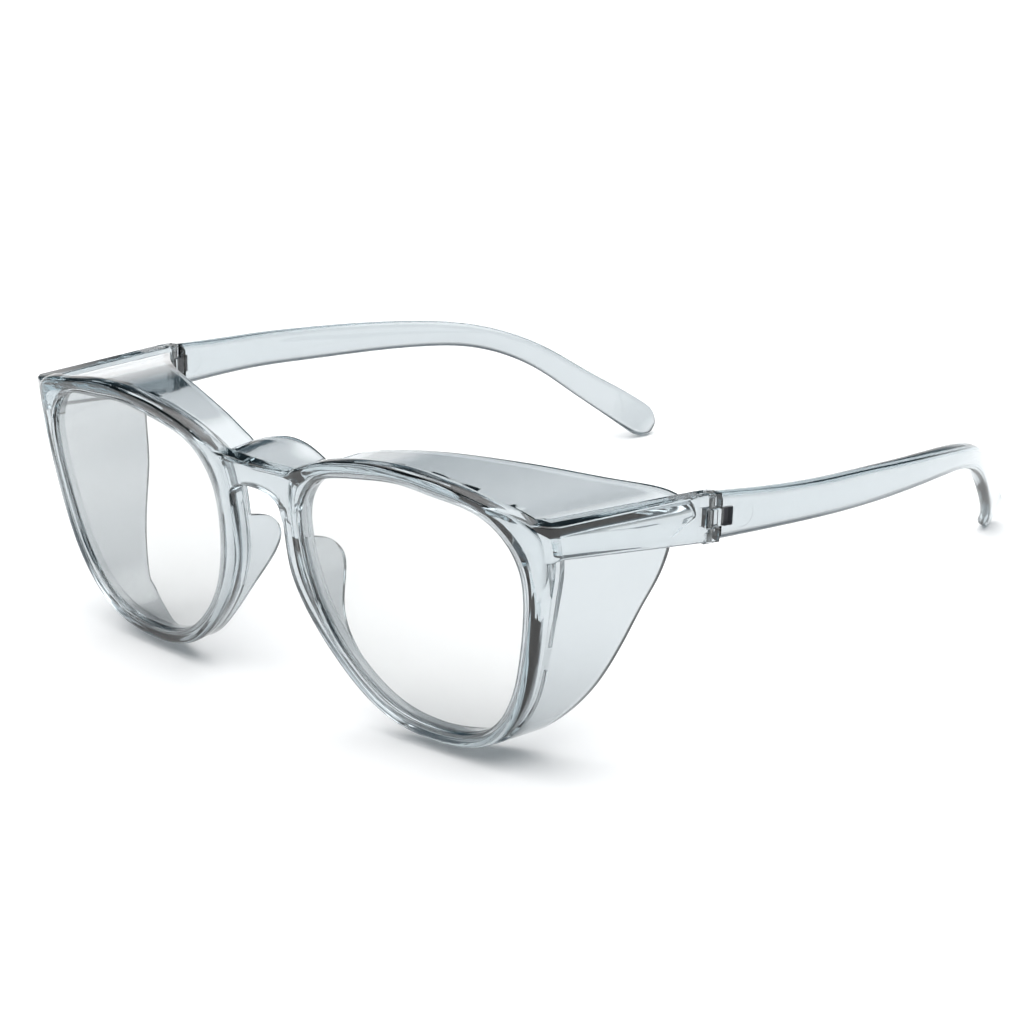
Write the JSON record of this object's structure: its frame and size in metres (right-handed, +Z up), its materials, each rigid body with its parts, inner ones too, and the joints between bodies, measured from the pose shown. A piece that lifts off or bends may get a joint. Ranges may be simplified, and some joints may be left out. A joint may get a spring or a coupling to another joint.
{
  "type": "safety glasses",
  "caption": "Clear plastic safety glasses with built-in brow and side shields, two lenses, and two folding temples on screw hinges.",
  "frame": {"origin": "centre of the object's outline on the surface it stands on, at the height of its lowest points, with both temples open", "axes": "+X towards the wearer's left, +Y from the lenses back along the temples, +Z up"},
  "size_m": [0.157, 0.1534, 0.0543],
  "materials": {
    "frame_plastic": "polished clear plastic with a faint cool tint",
    "lens_plastic": "optically clear, hard coated",
    "screw_steel": "turned stainless steel",
    "nut_steel": "turned stainless steel"
  },
  "bodies": {
    "front": {"front_frame": "frame_plastic", "lens_left": "lens_plastic", "lens_right": "lens_plastic", "hinge_screw_left": "screw_steel", "hinge_screw_right": "screw_steel", "hinge_nut_left": "nut_steel", "hinge_nut_right": "nut_steel"},
    "temple_left": {"temple_left": "frame_plastic"},
    "temple_right": {"temple_right": "frame_plastic"}
  },
  "joints": [
    {"name": "temple_left_fold", "type": "hinge", "parent": "front", "child": "temple_left", "pos_m": [0.0742, -0.0355, 0.04118], "axis": [0.0242, 0.1228, 0.9921], "range_deg": [0, 90]},
    {"name": "temple_right_fold", "type": "hinge", "parent": "front", "child": "temple_right", "pos_m": [-0.0742, -0.0355, 0.04118], "axis": [0.0242, -0.1228, -0.9921], "range_deg": [0, 80]}
  ]
}
